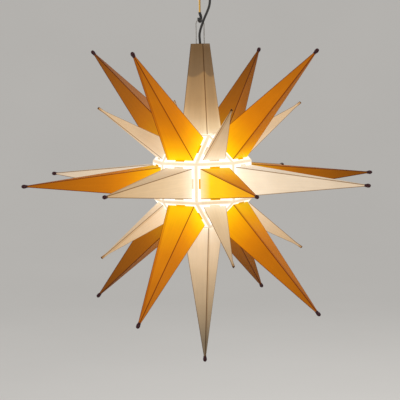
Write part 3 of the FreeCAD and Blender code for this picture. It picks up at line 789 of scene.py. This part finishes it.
frameShape = {
    "ledge": 1.4,
    "plate": 1.5,
    "depth": 10.0,
    "wall": 1.5,
    "gap": 0.12,
    "fold": 0.7,
    "foldCut": 0.3,  # how deep the middle of the rounded fold lies, as a share of it
    "corner": 0.5,
    "windowEdge": 0.3,
    "lines": (5.2, 3.0),  # where the plate has rings of points, for the shading of its strip
}
frameLook = {
    "white": (0.62, 0.61, 0.58),
    "cream": (0.56, 0.49, 0.38),
    "whiteGlow": (0.95, 0.92, 0.86),
    "creamGlow": (0.50, 0.41, 0.30),
    "edgeShadeTint": (0.90, 0.84, 0.74),
    "strip": (2.1, 4.9),  # the painted shade of the flange, a cream strip over it, fades out between these
    "stripWander": 0.5,
    "edge": (0.15, 0.7),
    "mottle": 90.0,
    "spread": 0.16,
    "roughness": 0.42,
    "roughSpread": 0.1,
    "bump": 0.1,
    "bumpDistance": 0.0003,
}


def framePaint():
    look = frameLook
    paint = Paint(bpy.data.materials.new("frame white"))
    inset = paint.attribute("foldDistance")
    mottle = paint.noise(paint.place(), look["mottle"], 3.0)
    strip = 1 - (inset + look["stripWander"] * (mottle - 0.5)).rise(*look["strip"])
    edge = 1 - inset.rise(*look["edge"])
    grain = mottle.aboutOne(look["spread"])
    # painted shade: over the flange the strip is cream in base colour and glow
    base = paint.mix(strip, look["white"], look["cream"])
    glow = paint.mix(strip, look["whiteGlow"], look["creamGlow"])
    # painted shade along the plate's folded edge
    glow = paint.mix(edge, glow, look["edgeShadeTint"], "MULTIPLY")
    return paint.surface({
        "Base Color": paint.scaled(base, grain),
        "Roughness": look["roughness"] + look["roughSpread"] * mottle,
        "Emission Color": paint.scaled(glow, grain),
        "Emission Strength": 1.0,
        "Normal": paint.bump(mottle, look["bump"], look["bumpDistance"]),
    })


def addFrame(shape, sides, azimuth, elevation):
    look = frameShape
    flipped = isFlipped(sides, elevation)
    distance = faceDistances[sides]
    window = frameBand + look["ledge"]
    gap = look["gap"]
    fold = look["fold"]
    cut = look["foldCut"] * fold
    inner = gap + look["wall"]
    end = look["depth"] * distance / faceDistance
    profile = [(window, 0.0), (window - look["windowEdge"], 0.0), *((line, 0.0) for line in look["lines"]),
               (gap + fold, 0.0), (gap + cut, cut), (gap, fold), (gap, end), (inner, end),
               (inner, look["plate"]), (window, look["plate"])]
    rings = []
    for inset, depth in profile:
        width = faceRadii[sides] * (1 - depth / distance) - inset
        rings.append(ringOf(sides, width, distance - depth, look["corner"], flipped=flipped))
    shape.rings(rings, faceTurn(azimuth, elevation), closed=True, folds=[inset for inset, depth in profile])


def makeFrames(paint):
    groups = {
        "top_frame": [(4, 0, 90)],
        "bottom_frame": [(4, 0, -90)],
        "belt_frames": [(4, azimuth, 0) for azimuth in beltTurns],
        "upper_square_frames": [(4, azimuth, squareTilt) for azimuth in squareTurns],
        "lower_square_frames": [(4, azimuth, -squareTilt) for azimuth in squareTurns],
        "upper_triangle_frames": [(3, azimuth, triangleTilt) for azimuth in triangleTurns],
        "lower_triangle_frames": [(3, azimuth, -triangleTilt) for azimuth in triangleTurns],
    }
    for node, members in groups.items():
        shape = Shape()
        for member in members:
            addFrame(shape, *member)
        shape.build("folded_" + node, paint, "star_shell", node)


makeFrames(framePaint())
print("frames made")

# finishes for the CAD nodes that stay as they are

plainFinish = {"metallic": 0.0, "mottle": 120.0, "stretch": (1, 1, 1), "fine": 900.0, "spread": 0.12,
               "bump": 0.08, "bumpDistance": 0.0002}
finishes = {
    "clip_steel": {"first": (0.55, 0.55, 0.56), "second": (0.42, 0.42, 0.43), "roughness": 0.3,
                   "metallic": 1.0},
    "black_plastic": {"first": (0.016, 0.015, 0.015), "second": (0.028, 0.026, 0.025), "roughness": 0.42},
    "zinc_steel": {"first": (0.62, 0.63, 0.65), "second": (0.52, 0.53, 0.56), "roughness": 0.34,
                   "metallic": 1.0, "mottle": 160.0, "bump": 0.02},
    "cable_black": {"first": (0.012, 0.011, 0.011), "second": (0.024, 0.022, 0.021), "roughness": 0.46},
    "holder_black": {"first": (0.02, 0.019, 0.018), "second": (0.034, 0.031, 0.028), "roughness": 0.22,
                     "coat": 0.4},
    "brass": {"first": (0.84, 0.52, 0.14), "second": (0.66, 0.37, 0.08), "roughness": 0.22, "metallic": 1.0,
              "stretch": (1, 1, 0.05)},
    "holder_ceramic": {"first": (0.80, 0.78, 0.72), "second": (0.72, 0.69, 0.62), "roughness": 0.3},
    "nickel": {"first": (0.70, 0.68, 0.62), "second": (0.55, 0.52, 0.46), "roughness": 0.24, "metallic": 1.0},
    "bulb_glass": {"first": (0.80, 0.76, 0.68), "second": (0.74, 0.69, 0.60), "roughness": 0.35,
                   "glow": (0.9, 0.78, 0.56), "glowSpread": 0.16},
    "wire_steel": {"first": (0.42, 0.40, 0.37), "second": (0.30, 0.28, 0.26), "roughness": 0.32,
                   "metallic": 1.0, "stretch": (1, 1, 0.05)},
    "cup_white": {"first": (0.74, 0.73, 0.70), "second": (0.68, 0.67, 0.63), "roughness": 0.26, "coat": 0.3},
    "terminal_white": {"first": (0.70, 0.70, 0.66), "second": (0.62, 0.61, 0.57), "roughness": 0.4},
}


def solidPaint(name, finish):
    # one finish: two near colours mottled, fine scratches in the roughness, a light bump
    look = {**plainFinish, **finish}
    paint = Paint(bpy.data.materials.new(name))
    place = paint.place()
    mottle = paint.noise(place, look["mottle"], 3.0)
    fine = paint.noise(paint.stretched(place, look["stretch"]), look["fine"], 2.0)
    inputs = {
        "Base Color": paint.mix(mottle, look["first"], look["second"]),
        "Roughness": look["roughness"] + look["spread"] * fine,
        "Metallic": look["metallic"],
        "Normal": paint.bump(fine, look["bump"], look["bumpDistance"]),
    }
    if "glow" in look:
        inputs["Emission Color"] = paint.scaled(look["glow"], mottle.aboutOne(look["glowSpread"]))
        inputs["Emission Strength"] = 1.0
    if "coat" in look:
        inputs["Coat Weight"] = look["coat"]
        inputs["Coat Roughness"] = 0.12
    return paint.surface(inputs)


slotOf = {row["node"]: row["material_slot"] for row in frame["record"]["subparts"]}
paints = {slot: solidPaint(slot.replace("_", " "), finish) for slot, finish in finishes.items()}
for name, node in nodes.items():
    paint = paints.get(slotOf[name])
    if paint and not node.hide_render:
        for holder in node.material_slots:
            holder.link = "OBJECT"
            holder.material = paint
print("finishes given")

# the cable, in two lengths; heights are above the hook's saddle, which hangs a drop below the ceiling

cableLook = {"radius": 2.2, "around": 20, "splineSteps": 10, "hookDrop": 92.3}
upperRoute = [(22.0, 0.0, 44.3), (22.0, 0.0, 32.3), (18.3, -3.6, 18.3), (11.8, -6.0, 4.3), (6.7, -6.2, -8.7)]
lowerRoute = [(6.7, -6.2, -8.7), (3.538, -6.324, -16.76), (0.9, -4.3, -25.4), (0.0, -1.4, -34.1),
              (0.0, 0.0, -43.3), (0.0, 0.0, -52.5)]


def cordPlace(point):
    x, y, z = point
    return (x * mm, y * mm, (z - cableLook["hookDrop"]) * mm)


def smoothPath(route):
    # points read from a spline through the route, in the frame
    curve = bpy.data.curves.new("route", "CURVE")
    curve.dimensions = "3D"
    curve.resolution_u = cableLook["splineSteps"]
    spline = curve.splines.new("NURBS")
    spline.points.add(len(route) - 1)
    for point, place in zip(spline.points, route):
        point.co = (*cordPlace(place), 1)
    spline.order_u = 3
    spline.use_endpoint_u = True
    holder = bpy.data.objects.new("route", curve)
    bpy.context.scene.collection.objects.link(holder)
    bpy.context.view_layer.update()
    read = bpy.data.meshes.new_from_object(holder)
    path = [vertex.co.copy() for vertex in read.vertices]
    bpy.data.objects.remove(holder)
    return path


def makeCable(name, route, node):
    path = smoothPath(route)
    radius = cableLook["radius"] * mm
    around = cableLook["around"]
    points = []
    side = Vector((0, 1, 0))
    for k, place in enumerate(path):
        before = path[max(k - 1, 0)]
        after = path[min(k + 1, len(path) - 1)]
        along = (after - before).normalized()
        side = (side - along * side.dot(along)).normalized()
        other = along.cross(side)
        for j in range(around):
            turned = 2 * math.pi * j / around
            points.append(place + (side * math.cos(turned) + other * math.sin(turned)) * radius)
    faces = []
    for k in range(len(path) - 1):
        for j in range(around):
            i = (j + 1) % around
            faces.append([k * around + j, k * around + i, (k + 1) * around + i, (k + 1) * around + j])
    faces.append(list(range(around)))
    faces.append([(len(path) - 1) * around + j for j in range(around)])
    mesh = bpy.data.meshes.new(name)
    mesh.from_pydata(points, [], faces)
    piece = finishMesh(mesh, name, paints["cable_black"], node)
    length = sum((path[k + 1] - path[k]).length for k in range(len(path) - 1))
    print(name, "length", round(length / mm, 1))
    return piece, path


upperCable, upperPath = makeCable("cableUpper", upperRoute, "cable_upper")
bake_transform(upperCable)
lowerCable, lowerPath = makeCable("cableLower", lowerRoute, "cable_lower")
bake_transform(lowerCable)
print("cables made")

# floor, backdrop and light, in metres

studio = {
    "floorDrop": 1.5,
    "floorHole": 0.001,  # the floor's rings start from this radius
    "floorReach": 5.0,
    "wallBend": 2.5,
    "wallTop": 8.0,
    "around": 96,
    "pale": (0.74, 0.73, 0.715),
    "paleSpread": 0.06,
    "far": (0.45, 0.445, 0.435),
    "light": (1.0, 0.985, 0.96),
    "lightStrength": 0.55,
}
lamps = {
    "key": {"place": (2.6, -2.4, 1.6), "size": 1.8, "power": 62, "colour": (1.0, 0.96, 0.9)},
    "fill": {"place": (-2.8, -2.0, 0.2), "size": 2.4, "power": 30, "colour": (0.97, 0.98, 1.0)},
    "back": {"place": (0.3, 3.0, 1.8), "size": 2.2, "power": 36, "colour": (1.0, 0.98, 0.95)},
}


def backdropPaint():
    # pale for the camera and in reflections, and out of the way of the light
    paint = Paint(bpy.data.materials.new("backdrop pale"))
    mottle = paint.noise(paint.place(), 1.5, 3.0)
    colour = paint.scaled(studio["pale"], mottle.aboutOne(studio["paleSpread"]))
    shown = paint.node("ShaderNodeBsdfDiffuse", None, {"Color": colour})
    clear = paint.node("ShaderNodeBsdfTransparent")
    camera, glossy, through = (paint.node("ShaderNodeLightPath", output="Is " + ray + " Ray")
                               for ray in ("Camera", "Glossy", "Transmission"))
    seen = camera + glossy + through
    behind = paint.node("ShaderNodeNewGeometry", output="Backfacing")
    factor = seen.sum("MINIMUM", seen, 1.0) * (1 - behind)
    paint.output(paint.node("ShaderNodeMixShader", None, {0: factor, 1: clear, 2: shown}))
    return paint.owner


def makeBackdrop():
    rim = studio["floorReach"]
    bend = studio["wallBend"]
    around = studio["around"]
    low = -studio["floorDrop"]
    profile = [(studio["floorHole"], low), (rim / 2, low), (rim, low)]
    profile += [(rim + bend * math.sin(math.radians(a)), low + bend * (1 - math.cos(math.radians(a))))
                for a in range(10, 91, 10)]
    profile.append((rim + bend, studio["wallTop"]))
    points = [(r * math.cos(2 * math.pi * j / around), r * math.sin(2 * math.pi * j / around), z)
              for r, z in profile for j in range(around)]
    faces = [[k * around + (j + 1) % around, k * around + j, (k + 1) * around + j,
              (k + 1) * around + (j + 1) % around] for k in range(len(profile) - 1) for j in range(around)]
    mesh = bpy.data.meshes.new("backdrop")
    mesh.from_pydata(points, [], faces)
    mesh.polygons.foreach_set("use_smooth", [True] * len(mesh.polygons))
    mesh.materials.append(backdropPaint())
    backdrop = bpy.data.objects.new("backdrop", mesh)
    bpy.context.scene.collection.objects.link(backdrop)


def makeWorld():
    world = bpy.data.worlds.new("studio")
    bpy.context.scene.world = world
    paint = Paint(world)
    light = paint.node("ShaderNodeBackground", None,
                       {"Color": (*studio["light"], 1), "Strength": studio["lightStrength"]})
    shown = paint.node("ShaderNodeBackground", None, {"Color": (*studio["far"], 1)})
    camera = paint.node("ShaderNodeLightPath", output="Is Camera Ray")
    mixed = paint.node("ShaderNodeMixShader", None, {0: camera, 1: light, 2: shown})
    paint.output(mixed, "ShaderNodeOutputWorld")


def makeLamp(name, look):
    data = bpy.data.lights.new(name, "AREA")
    data.shape = "DISK"
    data.size = look["size"]
    data.energy = look["power"]
    data.color = look["colour"]
    lamp = bpy.data.objects.new(name, data)
    bpy.context.scene.collection.objects.link(lamp)
    lamp.location = look["place"]
    lamp.rotation_euler = (starMiddle - lamp.location).to_track_quat("-Z", "Y").to_euler()


makeBackdrop()
makeWorld()
for name, look in lamps.items():
    makeLamp(name, look)
bpy.context.scene.view_settings.view_transform = "Standard"
print("studio made")
